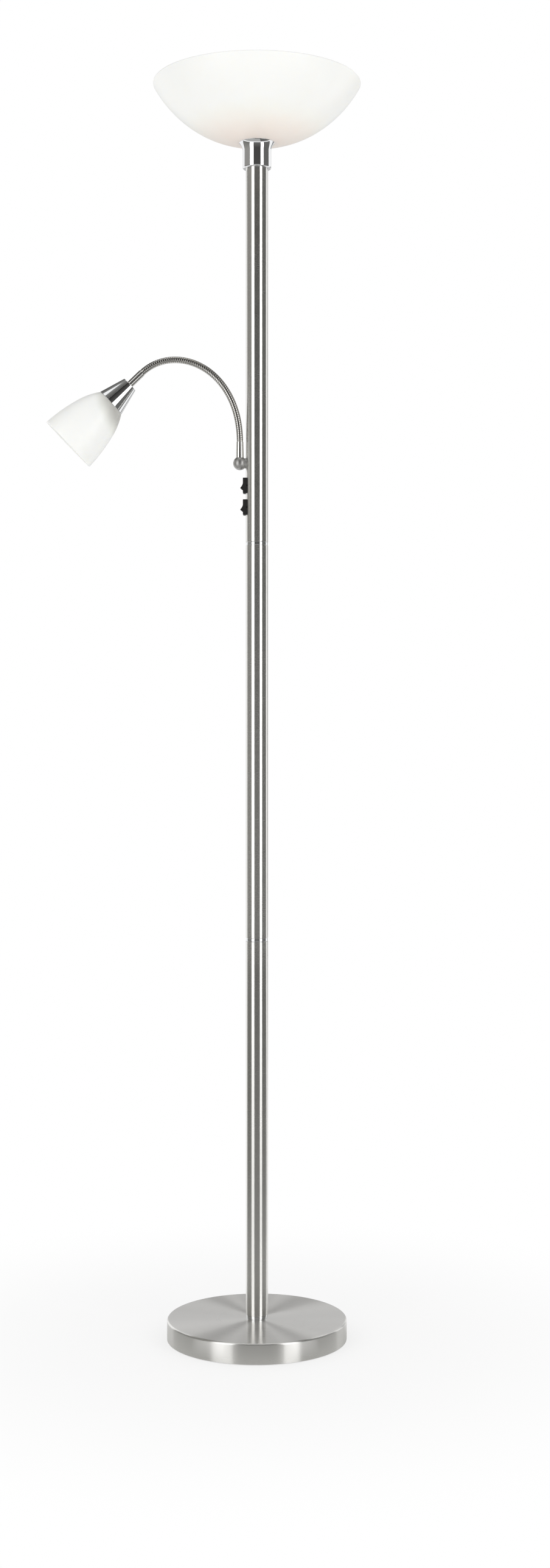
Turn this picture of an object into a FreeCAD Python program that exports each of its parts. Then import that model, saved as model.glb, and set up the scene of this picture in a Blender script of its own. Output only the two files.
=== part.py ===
import FreeCAD, Part
import math
import os
import re
import Sketcher
from FreeCAD import Placement, Rotation, Vector

# Torchiere floor lamp with a reading arm, in millimetres.
# +Z is up, the origin is the centre of the base's underside on the floor,
# and the reading arm leans towards -X, so its plane is the XZ plane.

doc = FreeCAD.newDocument("floor_lamp")
sheet = doc.addObject("Spreadsheet::Sheet", "dims")

SIZES = {
    # Fits between pieces that touch or slide.
    "thread_gap": 0.05,
    "slip_gap": 0.1,
    "running_gap": 0.3,
    "pivot_gap": 0.05,
    # Base: pad on the floor, cast weight, spun steel cover.
    "base_radius": 128.75,
    "base_height": 30,
    "base_sheet": 1.5,
    "base_edge_round": 3,
    "cover_lift": 1,
    "pad_thickness": 2,
    "pad_inset": 4,
    "weight_height": 18,
    "weight_gap": 1,
    "hub_radius": 32,
    "recess_radius": 15,
    "recess_depth": 9,
    "channel_width": 16,
    "channel_height": 15,
    "inlet_height": 9.5,
    "bush_bore": 2.7,
    "bush_neck": 4.4,
    "bush_flange": 6,
    "bush_lip": 1.5,
    # Hollow threaded rods, washers and nuts of the pole.
    "stem_radius": 5,
    "stem_bore": 3.5,
    "stem_grip": 12,
    "stem_proud": 1,
    "stem_clearance": 2,
    "washer_radius": 12,
    "washer_height": 1.5,
    "nut_width": 14,
    "nut_height": 4,
    # Pole: three tubes of one diameter with polished rings between them.
    "pole_radius": 16,
    "tube_wall": 1.2,
    "plug_height": 14,
    "ring_radius": 15.6,
    "ring_round": 0.9,
    "foot_ring_height": 5,
    "seam_ring_height": 5,
    "lower_length": 535,
    "middle_length": 562,
    "upper_length": 535,
    # Uplighter: polished collar, lampholder, glass bowl.
    "collar_radius": 20.5,
    "collar_sheet": 1.2,
    "collar_height": 37.4,
    "collar_round": 2.5,
    "flare_height": 12,
    "flare_radius": 25.5,
    "bowl_rim_radius": 149,
    "bowl_height": 85.6,
    "bowl_belly_radius": 77.7,
    "bowl_belly_height": 15.6,
    "bowl_curve": 170,
    "bowl_glass": 4,
    "top_holder_radius": 18.6,
    "top_holder_thread": 19.8,
    "top_holder_height": 46,
    "top_holder_bore": 13.8,
    "shade_ring_height": 6,
    "top_ring_radius": 25,
    "top_cap_radius": 13.3,
    "top_bulb_radius": 28,
    "top_bulb_height": 88,
    "bulb_neck_rise": 1,
    # Reading arm: boss and ball on the pole, ribbed gooseneck.
    "arm_above_seam": 113,
    "arm_reach": 24.5,
    "ball_radius": 9.7,
    "ball_flat": 6.7,
    "ball_seat": 7.8,
    "boss_radius": 7.35,
    "stud_radius": 4,
    "stud_bore": 2.6,
    "stud_inner": 8.2,
    "stud_short": 2,
    "arm_nut_width": 13,
    "arm_nut_height": 4,
    "ferrule_height": 23.1,
    "ferrule_foot_radius": 5.7,
    "ferrule_radius": 5.1,
    "ferrule_tail": 3.5,
    "ferrule_tail_radius": 3.6,
    "neck_length": 219,
    "neck_bend": 134,
    "neck_tightening": 0.5,
    "neck_crest": 4.65,
    "neck_rib_depth": 0.5,
    "neck_bore": 2.5,
    "neck_tail": 8,
    "neck_tail_radius": 4.3,
    "tail_clearance": 1,
    "neck_nose": 5,
    # Reading head, along its own axis.
    "head_ferrule_length": 24.1,
    "cup_small_radius": 11.7,
    "cup_large_radius": 21.9,
    "cup_length": 38.3,
    "cup_sheet": 1.2,
    "cup_round": 1,
    "nipple_clearance": 4,
    "head_holder_radius": 13.8,
    "head_holder_height": 46.7,
    "head_holder_bore": 9,
    "head_holder_foot": 7.5,
    "head_holder_taper": 10.7,
    "head_nut_width": 13,
    "head_nut_height": 4,
    "head_ring_height": 5,
    "head_ring_radius": 18,
    "shade_neck_radius": 21.7,
    "shade_waist_radius": 35.3,
    "shade_waist": 29.9,
    "shade_rim_radius": 44,
    "shade_length": 85.5,
    "shade_neck_curve": 101,
    "shade_side_curve": 266,
    "shade_glass": 3,
    "shade_shoulder_out": 1.2,
    "shade_shoulder_rise": 1.8,
    "head_cap_radius": 6.9,
    "head_cap_inset": 6,
    "head_cap_taper": 2,
    "head_bulb_neck": 8.5,
    "head_bulb_radius": 20,
    "head_bulb_height": 66,
    # Rocker switches in the side of the upper tube, under the arm.
    "switch_below_arm": 32.2,
    "switch_spacing": 31,
    "bezel_length": 22,
    "bezel_width": 15,
    "bezel_rise": 4.2,
    "bezel_round": 1.6,
    "bezel_root": 4,
    "body_length": 19.6,
    "body_width": 13,
    "cutout_gap": 0.1,
    "cavity_wall": 0.6,
    "cavity_side": 1.2,
    "cavity_floor": 1.5,
    "rocker_tilt": 18,
    "rocker_pivot_depth": 2.1,
    "rocker_tip": 6.15,
    "rocker_top": 8.6,
    "rocker_hollow": 13,
    "rocker_shoulder": 8,
    "rocker_shoulder_height": 3.9,
    "rocker_hip": 1,
    "rocker_foot": 5,
    "rocker_depth": 5,
    "rocker_pin": 1.2,
    "tab_width": 4.8,
    "tab_thickness": 0.8,
    "tab_length": 8,
    "tab_spacing": 6,
}

# Counts of the gooseneck.
NECK_SEGMENTS = 8
RIBS_PER_SEGMENT = 9

for row, (name, size) in enumerate(SIZES.items(), start=1):
    sheet.set("A%d" % row, name)
    sheet.set("B%d" % row, str(size))
    sheet.setAlias("B%d" % row, name)
doc.recompute()

nodes = []


# ---------------------------------------------------------------- helpers

def bound(text):
    """A formula in size names, as an expression on the spreadsheet."""
    return re.sub(r"[a-z_]{3,}(?!\()", lambda word: "dims." + word.group(0)
                  if word.group(0) in SIZES else word.group(0), text)


def value(text):
    """The present value of a formula in size names."""
    return float(sheet.evalExpression(bound(text)))


def total(*parts):
    return "(" + " + ".join(parts) + ")"


def new_body(label):
    body = doc.addObject("PartDesign::Body", label)
    body.Label = label
    nodes.append(body)
    return body


def blank_sketch(body, role, lift="0"):
    """A sketch on one of the body's own planes, lifted along its normal."""
    plane = next(f for f in body.Origin.OriginFeatures if f.Role == role)
    sketch = body.newObject("Sketcher::SketchObject", body.Label + "_sketch")
    sketch.AttachmentSupport = (plane, "")
    sketch.MapMode = "FlatFace"
    if lift != "0":
        sketch.setExpression(".AttachmentOffset.Base.z", bound(lift))
    return sketch


def pin_point(sketch, geometry, vertex, across, up):
    """Hold one vertex of a sketch at a place given by two formulas."""
    for kind, text in (("DistanceX", across), ("DistanceY", up)):
        number = sketch.addConstraint(
            Sketcher.Constraint(kind, -1, 1, geometry, vertex, value(text)))
        sketch.setExpression("Constraints[%d]" % number, bound(text))


def arc_through(start, end, radius):
    """Circle centre and angles of a short arc from start to end.
    A positive radius bulges to the right of the way from start to end."""
    chord = end - start
    middle = (start + end) * 0.5
    side = Vector(-chord.y, chord.x, 0).normalize()
    depth = math.sqrt(radius ** 2 - (chord.Length / 2) ** 2)
    centre = middle + side * math.copysign(depth, radius)
    first = math.atan2(start.y - centre.y, start.x - centre.x)
    last = math.atan2(end.y - centre.y, end.x - centre.x)
    return centre, first, last


def outline(sketch, corners):
    """Close a profile through the corners. A corner is (across, up), and a
    third formula, "+radius" or "-radius", makes the edge that leaves it an
    arc that bulges to the right or to the left of the way."""
    spots = [Vector(value(c[0]), value(c[1]), 0) for c in corners]
    arcs = {}
    starts = []
    ends = []
    for i, corner in enumerate(corners):
        start = spots[i]
        end = spots[(i + 1) % len(spots)]
        if len(corner) == 3:
            sign = -1.0 if corner[2][0] == "-" else 1.0
            size = value(corner[2][1:])
            centre, first, last = arc_through(start, end, sign * size)
            circle = Part.Circle(centre, Vector(0, 0, 1), size)
            if sign > 0:
                edge = Part.ArcOfCircle(circle, first, last)
                starts.append(1)
                ends.append(2)
            else:
                edge = Part.ArcOfCircle(circle, last, first)
                starts.append(2)
                ends.append(1)
            arcs[i] = (size, corner[2][1:])
        else:
            edge = Part.LineSegment(start, end)
            starts.append(1)
            ends.append(2)
        sketch.addGeometry(edge)
    for i in range(len(spots)):
        following = (i + 1) % len(spots)
        sketch.addConstraint(Sketcher.Constraint(
            "Coincident", i, ends[i], following, starts[following]))
    for i, corner in enumerate(corners):
        pin_point(sketch, i, starts[i], corner[0], corner[1])
    for i, (size, text) in arcs.items():
        number = sketch.addConstraint(Sketcher.Constraint("Radius", i, size))
        sketch.setExpression("Constraints[%d]" % number, bound(text))


def circle(sketch, across, up, radius):
    centre = Vector(value(across), value(up), 0)
    number = sketch.addGeometry(
        Part.Circle(centre, Vector(0, 0, 1), value(radius)))
    pin_point(sketch, number, 3, across, up)
    held = sketch.addConstraint(
        Sketcher.Constraint("Radius", number, value(radius)))
    sketch.setExpression("Constraints[%d]" % held, bound(radius))


def turned(label, corners):
    """A body turned about its own Z axis from a half profile."""
    body = new_body(label)
    sketch = blank_sketch(body, "XZ_Plane")
    outline(sketch, corners)
    revolution = body.newObject("PartDesign::Revolution", label + "_turned")
    revolution.Profile = (sketch, [""])
    revolution.ReferenceAxis = (sketch, ["V_Axis"])
    revolution.Angle = 360
    return body


def padded(body, sketch, length, both_sides=False, reverse=False):
    pad = body.newObject("PartDesign::Pad", body.Label + "_pad")
    pad.Profile = (sketch, [""])
    if both_sides:
        pad.SideType = "Symmetric"
    pad.Reversed = reverse
    pad.setExpression("Length", bound(length))
    return pad


def pocketed(body, sketch, length, both_sides=False, reverse=False):
    """Cut a pocket and make sure that it took material away."""
    doc.recompute()
    before = body.Shape.Volume
    pocket = body.newObject("PartDesign::Pocket", body.Label + "_pocket")
    pocket.Profile = (sketch, [""])
    if both_sides:
        pocket.SideType = "Symmetric"
    pocket.Reversed = reverse
    pocket.setExpression("Length", bound(length))
    doc.recompute()
    if body.Shape.Volume > before - 0.1:
        raise RuntimeError("pocket cuts nothing in " + body.Label)
    return pocket


def placed(thing, across="0", up="0", tilt="0", behind="0"):
    """Put a piece at (across, behind, up), tilted about the Y axis."""
    thing.Placement = Placement(
        Vector(0, 0, 0), Rotation(Vector(0, 1, 0), value(tilt)))
    thing.setExpression(".Placement.Base.x", bound(across))
    thing.setExpression(".Placement.Base.y", bound(behind))
    thing.setExpression(".Placement.Base.z", bound(up))
    if tilt != "0":
        thing.setExpression(".Placement.Rotation.Angle", bound(tilt))
    return thing


def sleeve(label, radius, bore, height):
    """A plain hollow cylinder."""
    return turned(label, [(bore, "0"), (radius, "0"), (radius, height), (bore, height)])


def ring(label, radius, bore, height, rounding):
    """A hollow ring with both outer edges rounded."""
    return turned(label, [
        (bore, "0"),
        (radius + " - " + rounding, "0", "+" + rounding),
        (radius, rounding),
        (radius, height + " - " + rounding, "+" + rounding),
        (radius + " - " + rounding, height),
        (bore, height),
    ])


def hex_nut(name, width, height, bore):
    """A plain hexagon nut about the Z axis, as a named boolean."""
    prism = doc.addObject("Part::Prism", name + "_hexagon")
    prism.Polygon = 6
    prism.setExpression("Circumradius", bound(width + " / (2 * cos(30))"))
    prism.setExpression("Height", bound(height))
    hole = doc.addObject("Part::Cylinder", name + "_hole")
    hole.setExpression("Radius", bound(bore))
    hole.setExpression("Height", bound(height))
    nut = doc.addObject("Part::Cut", name)
    nut.Base = prism
    nut.Tool = hole
    nut.Label = name
    return nut


def group(label, members):
    """Identical pieces that share one node as separate solids."""
    compound = doc.addObject("Part::Compound", label)
    compound.Links = members
    compound.Label = label
    nodes.append(compound)
    return compound


# ---------------------------------------------------------------- base

foot_ring_top = total("base_height", "foot_ring_height")
weight_radius = "(base_radius - base_sheet - weight_gap)"
recess_top = total("pad_thickness", "recess_depth")
stem_start = "(pad_thickness + recess_depth - washer_height - nut_height - stem_proud)"


def base():
    """Felt pad, cast weight, spun cover and the parts that clamp them."""
    turned("base_pad", [
        ("0", "0"),
        ("base_radius - pad_inset", "0"),
        ("base_radius - pad_inset", "pad_thickness"),
        ("0", "pad_thickness"),
    ])

    weight = turned("base_weight", [
        ("recess_radius", "pad_thickness"),
        (weight_radius, "pad_thickness"),
        (weight_radius, "pad_thickness + weight_height"),
        ("hub_radius", "pad_thickness + weight_height"),
        ("hub_radius", "base_height - base_sheet"),
        ("stem_radius + slip_gap", "base_height - base_sheet"),
        ("stem_radius + slip_gap", recess_top),
        ("recess_radius", recess_top),
    ])
    channel = blank_sketch(weight, "XZ_Plane", "-base_radius")
    outline(channel, [
        ("-channel_width / 2", "pad_thickness"),
        ("channel_width / 2", "pad_thickness"),
        ("channel_width / 2", "pad_thickness + channel_height"),
        ("-channel_width / 2", "pad_thickness + channel_height"),
    ])
    pocketed(weight, channel, "base_radius - recess_radius / 2", reverse=True)

    cover = turned("base_cover", [
        ("base_radius - base_sheet", "cover_lift"),
        ("base_radius", "cover_lift"),
        ("base_radius", "base_height - base_edge_round", "+base_edge_round"),
        ("base_radius - base_edge_round", "base_height"),
        ("stem_radius + slip_gap", "base_height"),
        ("stem_radius + slip_gap", "base_height - base_sheet"),
        ("base_radius - base_edge_round", "base_height - base_sheet",
         "-(base_edge_round - base_sheet)"),
        ("base_radius - base_sheet", "base_height - base_edge_round"),
    ])
    inlet = blank_sketch(cover, "XZ_Plane", "-base_radius - base_sheet")
    circle(inlet, "0", "inlet_height", "bush_neck + slip_gap")
    pocketed(cover, inlet, "4 * base_sheet", reverse=True)

    bush = turned("lead_bush", [
        ("bush_bore", "-base_sheet - bush_lip - 2 * slip_gap"),
        ("bush_flange", "-base_sheet - bush_lip - 2 * slip_gap"),
        ("bush_flange", "-base_sheet - 2 * slip_gap"),
        ("bush_neck", "-base_sheet - 2 * slip_gap"),
        ("bush_neck", "0"),
        ("bush_flange", "0"),
        ("bush_flange", "bush_lip / 2", "+(bush_lip / 2)"),
        ("bush_flange - bush_lip / 2", "bush_lip"),
        ("bush_bore", "bush_lip"),
    ])
    bush.Placement = Placement(Vector(0, 0, 0), Rotation(Vector(1, 0, 0), -90))
    bush.setExpression(".Placement.Base.y", bound("base_radius"))
    bush.setExpression(".Placement.Base.z", bound("inlet_height"))

    placed(sleeve("base_washer", "washer_radius", "stem_radius + slip_gap", "washer_height"),
           up=recess_top + " - washer_height")
    nut = hex_nut("base_nut", "nut_width", "nut_height", "stem_radius + thread_gap")
    nodes.append(placed(nut, up=recess_top + " - washer_height - nut_height"))
    placed(sleeve("base_stem", "stem_radius", "stem_bore",
                  foot_ring_top + " + stem_grip - " + stem_start), up=stem_start)


# ---------------------------------------------------------------- pole

lower_start = foot_ring_top
lower_end = total(lower_start, "lower_length")
middle_start = total(lower_end, "seam_ring_height")
middle_end = total(middle_start, "middle_length")
upper_start = total(middle_end, "seam_ring_height")
upper_end = total(upper_start, "upper_length")
tube_bore = "(pole_radius - tube_wall)"
arm_height = total(upper_start, "arm_above_seam")
switch_heights = ("(arm_above_seam - switch_below_arm)",
                  "(arm_above_seam - switch_below_arm - switch_spacing)")


def pole():
    """Three tubes, the rings between them, and what joins them inside."""
    placed(ring("foot_ring", "ring_radius", "stem_radius + slip_gap",
                "foot_ring_height", "ring_round"), up="base_height")
    placed(sleeve("pole_lower", "pole_radius", tube_bore, "lower_length"), up=lower_start)
    placed(ring("seam_ring_lower", "ring_radius", "stem_radius + slip_gap",
                "seam_ring_height", "ring_round"), up=lower_end)
    placed(sleeve("pole_middle", "pole_radius", tube_bore, "middle_length"), up=middle_start)
    placed(ring("seam_ring_upper", "ring_radius", "stem_radius + slip_gap",
                "seam_ring_height", "ring_round"), up=middle_end)
    upper_tube()

    plugs = []
    for low_end, high_end in ((lower_start, lower_end), (middle_start, middle_end),
                              (upper_start, upper_end)):
        for height in (low_end, high_end + " - plug_height"):
            plugs.append(tube_plug(len(plugs) + 1, height))
    group("tube_end_plugs", plugs)

    studs = [seam_stud(1, lower_end), seam_stud(2, middle_end)]
    group("seam_studs", studs)


def hollow_cylinder(name, radius, bore, height, start):
    """A hollow cylinder from two primitives, for the grouped pieces."""
    outside = doc.addObject("Part::Cylinder", name + "_outside")
    outside.setExpression("Radius", bound(radius))
    outside.setExpression("Height", bound(height))
    inside = doc.addObject("Part::Cylinder", name + "_inside")
    inside.setExpression("Radius", bound(bore))
    inside.setExpression("Height", bound(height))
    hollow = doc.addObject("Part::Cut", name)
    hollow.Base = outside
    hollow.Tool = inside
    return placed(hollow, up=start)


def tube_plug(number, start):
    return hollow_cylinder("tube_plug_%d" % number, tube_bore,
                           "stem_radius + thread_gap", "plug_height", start)


def seam_stud(number, ring_start):
    return hollow_cylinder("seam_stud_%d" % number, "stem_radius", "stem_bore",
                           "seam_ring_height + 2 * stem_grip",
                           ring_start + " - stem_grip")


def upper_tube():
    """The upper tube, with holes for the arm and the two switches."""
    tube = sleeve("pole_upper", "pole_radius", tube_bore, "upper_length")
    stud_hole = blank_sketch(tube, "YZ_Plane")
    circle(stud_hole, "0", "arm_above_seam", "stud_radius + slip_gap")
    pocketed(tube, stud_hole, "2 * pole_radius")
    for centre in switch_heights:
        cutout = blank_sketch(tube, "YZ_Plane")
        side = "(body_width / 2 + cutout_gap)"
        reach = "(body_length / 2 + cutout_gap)"
        outline(cutout, [
            ("-" + side, centre + " - " + reach),
            (side, centre + " - " + reach),
            (side, centre + " + " + reach),
            ("-" + side, centre + " + " + reach),
        ])
        pocketed(tube, cutout, "2 * pole_radius")
    placed(tube, up=upper_start)


# ---------------------------------------------------------------- uplighter

collar_top = total(upper_end, "collar_height")
collar_floor = total(upper_end, "collar_sheet")
top_holder_start = total(collar_floor, "nut_height")
top_holder_end = total(top_holder_start, "top_holder_height")
bowl_inside = total(collar_top, "bowl_glass")


def uplighter():
    """Collar, lampholder, glass bowl with its clamping ring, and bulb."""
    flare_start = "(collar_height - flare_height)"
    flare_rise = "(flare_radius - collar_radius)"
    flare_curve = "((flare_height ^ 2 + %s ^ 2) / (2 * %s))" % (flare_rise, flare_rise)
    placed(turned("collar_cup", [
        ("stem_radius + slip_gap", "0"),
        ("collar_radius - collar_round", "0", "+collar_round"),
        ("collar_radius", "collar_round"),
        ("collar_radius", flare_start, "-" + flare_curve),
        ("flare_radius", "collar_height"),
        ("flare_radius - collar_sheet", "collar_height",
         "+(" + flare_curve + " + collar_sheet)"),
        ("collar_radius - collar_sheet", flare_start),
        ("collar_radius - collar_sheet", "collar_sheet"),
        ("stem_radius + slip_gap", "collar_sheet"),
    ]), up=upper_end)

    top_grip = "(collar_sheet + nut_height + stem_grip)"
    placed(sleeve("top_stem", "stem_radius", "stem_bore", "stem_grip + " + top_grip),
           up=upper_end + " - stem_grip")
    nut = hex_nut("collar_nut", "nut_width", "nut_height", "stem_radius + thread_gap")
    nodes.append(placed(nut, up=collar_floor))

    thread_start = "(collar_height - collar_sheet - nut_height)"
    placed(turned("top_lampholder", [
        ("stem_radius + thread_gap", "0"),
        ("top_holder_radius", "0"),
        ("top_holder_radius", thread_start),
        ("top_holder_thread", thread_start),
        ("top_holder_thread", "top_holder_height"),
        ("top_holder_bore", "top_holder_height"),
        ("top_holder_bore", "stem_grip + stem_clearance"),
        ("stem_radius + thread_gap", "stem_grip + stem_clearance"),
    ]), up=top_holder_start)

    placed(bowl("bowl_shade"), up=collar_top)
    placed(ring("bowl_clamp_ring", "top_ring_radius", "top_holder_thread + thread_gap",
                "shade_ring_height", "ring_round"), up=bowl_inside)

    cap_start = "(stem_grip + 2 * stem_clearance)"
    bulb_top = total(cap_start, "top_bulb_height")
    centre = "(" + bulb_top + " - top_bulb_radius)"
    shoulder = "(top_bulb_radius * 0.6)"
    placed(turned("top_bulb", [
        ("0", cap_start),
        ("top_cap_radius", cap_start),
        ("top_cap_radius", "top_holder_height + bulb_neck_rise"),
        ("top_bulb_radius * 0.8", centre + " - " + shoulder, "+top_bulb_radius"),
        ("top_bulb_radius", centre, "+top_bulb_radius"),
        ("0", bulb_top),
    ]), up=top_holder_start)


def bowl(label):
    """Blown opal glass: a flat seat, a shallow belly and a wide rim."""
    lip = "(bowl_glass / 2)"
    return turned(label, [
        ("top_holder_thread + slip_gap", "0"),
        ("flare_radius", "0", "+bowl_curve"),
        ("bowl_belly_radius", "bowl_belly_height", "+bowl_curve"),
        ("bowl_rim_radius", "bowl_height - " + lip, "+" + lip),
        ("bowl_rim_radius - " + lip, "bowl_height", "+" + lip),
        ("bowl_rim_radius - bowl_glass", "bowl_height - " + lip,
         "-(bowl_curve - bowl_glass)"),
        ("bowl_belly_radius - bowl_glass * 0.4", "bowl_belly_height + bowl_glass * 0.95",
         "-(bowl_curve - bowl_glass)"),
        ("flare_radius", "bowl_glass"),
        ("top_holder_thread + slip_gap", "bowl_glass"),
    ])


# ---------------------------------------------------------------- arm

ferrule_start = total(arm_height, "ball_seat")
neck_start = total(ferrule_start, "ferrule_height")


def arm_root():
    """Boss, ball and ferrule that carry the gooseneck on the pole."""
    boss = new_body("arm_boss")
    face = blank_sketch(boss, "YZ_Plane", "-arm_reach + ball_flat")
    circle(face, "0", "0", "boss_radius")
    padded(boss, face, "arm_reach - ball_flat")
    bore = blank_sketch(boss, "YZ_Plane")
    circle(bore, "0", "0", "stud_radius + slip_gap")
    pocketed(boss, bore, "arm_reach")
    saddle = blank_sketch(boss, "XY_Plane")
    circle(saddle, "0", "0", "pole_radius")
    pocketed(boss, saddle, "4 * boss_radius", both_sides=True)
    placed(boss, up=arm_height)

    ball = turned("arm_ball", [
        ("0", "-ball_radius", "+ball_radius"),
        ("ball_radius", "0", "+ball_radius"),
        ("sqrt(ball_radius ^ 2 - ball_seat ^ 2)", "ball_seat"),
        ("0", "ball_seat"),
    ])
    flat = blank_sketch(ball, "YZ_Plane", "ball_flat")
    circle(flat, "0", "0", "2 * ball_radius")
    pocketed(ball, flat, "ball_radius", reverse=True)
    side_bore = blank_sketch(ball, "YZ_Plane", "ball_flat")
    circle(side_bore, "0", "0", "stud_radius + thread_gap")
    pocketed(ball, side_bore, "ball_flat - stud_short")
    top_bore = blank_sketch(ball, "XY_Plane", "ball_seat")
    circle(top_bore, "0", "0", "ferrule_tail_radius + thread_gap")
    pocketed(ball, top_bore, "ball_seat")
    placed(ball, across="-arm_reach", up=arm_height)

    stud = sleeve("arm_stud", "stud_radius", "stud_bore", "arm_reach - stud_short - stud_inner")
    placed(stud, across="-stud_inner", up=arm_height, tilt="-90")
    nut = hex_nut("arm_nut", "arm_nut_width", "arm_nut_height", "stud_radius + thread_gap")
    seat = "sqrt(%s ^ 2 - (arm_nut_width / (2 * cos(30))) ^ 2)" % tube_bore
    nodes.append(placed(nut, across="-(" + seat + " - slip_gap - arm_nut_height)",
                        up=arm_height, tilt="-90"))

    placed(turned("arm_ferrule", [
        ("stud_bore", "-ferrule_tail"),
        ("ferrule_tail_radius", "-ferrule_tail"),
        ("ferrule_tail_radius", "0"),
        ("ferrule_foot_radius", "0"),
        ("ferrule_radius", "ferrule_height"),
        ("neck_tail_radius + slip_gap", "ferrule_height"),
        ("neck_tail_radius + slip_gap", "ferrule_height - neck_tail - tail_clearance"),
        ("stud_bore", "ferrule_height - neck_tail - tail_clearance"),
    ]), across="-arm_reach", up=ferrule_start)


# The gooseneck is a row of equal arcs whose turn grows along the row.

def segment_turn(number):
    """Turn of one segment in radians; segments count from 0."""
    share = (number + 0.5) / NECK_SEGMENTS * 2 - 1
    mean = math.radians(value("neck_bend")) / NECK_SEGMENTS
    return mean * (1 + value("neck_tightening") * share)


def segment_start(number):
    """Place and heading of the start of a segment on the resting curve."""
    step = value("neck_length") / NECK_SEGMENTS
    place = Vector(-value("arm_reach"), 0, value(neck_start))
    heading = 0.0
    for turn in (segment_turn(k) for k in range(number)):
        place = place + Rotation(Vector(0, 1, 0), -math.degrees(heading)).multVec(
            arc_point(turn, step, step))
        heading += turn
    return place, heading


def arc_point(turn, length, along):
    """A point on an arc that leaves the origin upwards and bends to -X."""
    radius = length / turn
    angle = along / radius
    return Vector(-radius * (1 - math.cos(angle)), 0, radius * math.sin(angle))


def ring_wire(turn, length, along, radius):
    """A circle square to the arc, its seam always on the +Y side."""
    inside = min(max(along, 0.0), length)
    centre = arc_point(turn, length, inside)
    angle = inside / length * turn
    heading = Vector(-math.sin(angle), 0, math.cos(angle))
    centre = centre + heading * (along - inside)
    edge = Part.Circle(centre, heading, radius)
    edge.XAxis = Vector(0, 1, 0)
    return Part.Wire(edge.toShape())


def neck_segment(number):
    """One ribbed length of the gooseneck, in its own frame. Its foot is a
    hollow seat about the pivot and its head a rounded nose that fits the
    seat of the next one; the first and last have plain tails instead."""
    length = value("neck_length") / NECK_SEGMENTS
    turn = segment_turn(number)
    pitch = length / RIBS_PER_SEGMENT
    crest = value("neck_crest")
    valley = crest - value("neck_rib_depth")
    tail = value("neck_tail")
    nose = value("neck_nose")
    first = number == 0
    last = number == NECK_SEGMENTS - 1

    rings = []
    if first:
        rings += [(-tail, value("neck_tail_radius")), (0.0, value("neck_tail_radius"))]
    else:
        rings += [(0.85 * pitch, valley)]
    for rib in range(0 if first else 1, RIBS_PER_SEGMENT):
        rings += [((rib + 0.15) * pitch, valley), ((rib + 0.35) * pitch, crest),
                  ((rib + 0.65) * pitch, crest), ((rib + 0.85) * pitch, valley)]
    if last:
        rings += [(length, value("neck_tail_radius")),
                  (length + tail, value("neck_tail_radius"))]
    else:
        rings += [(length + 0.15 * pitch, valley), (length + 0.35 * pitch, crest)]
        lean = math.asin(crest / nose)
        closing = math.asin(value("neck_bore + running_gap") / nose)
        for step in range(4):
            angle = lean + (closing - lean) * step / 3
            rings += [(length + nose * math.cos(angle), nose * math.sin(angle))]
    skin = Part.makeLoft([ring_wire(turn, length, along, radius)
                          for along, radius in rings], True, True)

    low = -tail - 1 if first else 0.0
    high = length + (tail + 1 if last else nose + 1)
    stops = [low] + [k * pitch for k in range(1, RIBS_PER_SEGMENT + 1)] + [high]
    bore = Part.makeLoft([ring_wire(turn, length, along, value("neck_bore"))
                          for along in stops], True, True)
    solid = skin.cut(bore)
    if not first:
        solid = solid.cut(Part.makeSphere(nose + value("running_gap")))
    return solid.Solids[0]


def gooseneck():
    for number in range(NECK_SEGMENTS):
        label = "gooseneck_%d" % (number + 1)
        piece = doc.addObject("Part::Feature", label)
        piece.Label = label
        piece.Shape = neck_segment(number)
        place, heading = segment_start(number)
        piece.Placement = Placement(place, Rotation(Vector(0, 1, 0), -math.degrees(heading)))
        nodes.append(piece)


# ---------------------------------------------------------------- reading head

cup_start = "head_ferrule_length"
cup_floor = total(cup_start, "cup_sheet")
head_holder_start = total(cup_floor, "head_nut_height")
head_holder_end = total(head_holder_start, "head_holder_height")
shade_start = total(cup_start, "cup_length")
shade_inside = total(shade_start, "shade_glass")


def reading_head():
    """Ferrule, cup, lampholder, glass bell and bulb on the head's axis."""
    pieces = [head_ferrule(), head_cup(), head_nipple(), head_lampholder(),
              reading_shade(), head_clamp_ring(), head_bulb()]
    nut = hex_nut("head_nut", "head_nut_width", "head_nut_height", "stud_radius + thread_gap")
    nodes.append(nut)
    place, heading = segment_start(NECK_SEGMENTS)
    spin = Rotation(Vector(0, 1, 0), -math.degrees(heading))
    frame = Placement(place, spin)
    for piece in pieces:
        piece.Placement = frame
    nut.Placement = frame * Placement(Vector(0, 0, value(cup_floor)), Rotation())


def head_ferrule():
    return turned("head_ferrule", [
        ("neck_tail_radius + slip_gap", "0"),
        ("ferrule_radius", "0"),
        ("ferrule_radius", "head_ferrule_length"),
        ("stud_radius + thread_gap", "head_ferrule_length"),
        ("stud_radius + thread_gap", "neck_tail + tail_clearance"),
        ("neck_tail_radius + slip_gap", "neck_tail + tail_clearance"),
    ])


def head_cup():
    """A spun cone, open at the wide end where the glass sits."""
    return turned("head_cup", [
        ("stud_radius + slip_gap", cup_start),
        ("cup_small_radius - cup_round", cup_start, "+cup_round"),
        ("cup_small_radius", total(cup_start, "cup_round")),
        ("cup_large_radius", shade_start),
        ("cup_large_radius - cup_sheet", shade_start),
        ("cup_small_radius - cup_sheet", cup_floor),
        ("stud_radius + slip_gap", cup_floor),
    ])


def head_nipple():
    start = "(neck_tail + nipple_clearance)"
    end = total(head_holder_start, "stem_grip")
    return turned("head_nipple", [
        ("stud_bore", start),
        ("stud_radius", start),
        ("stud_radius", end),
        ("stud_bore", end),
    ])


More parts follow.
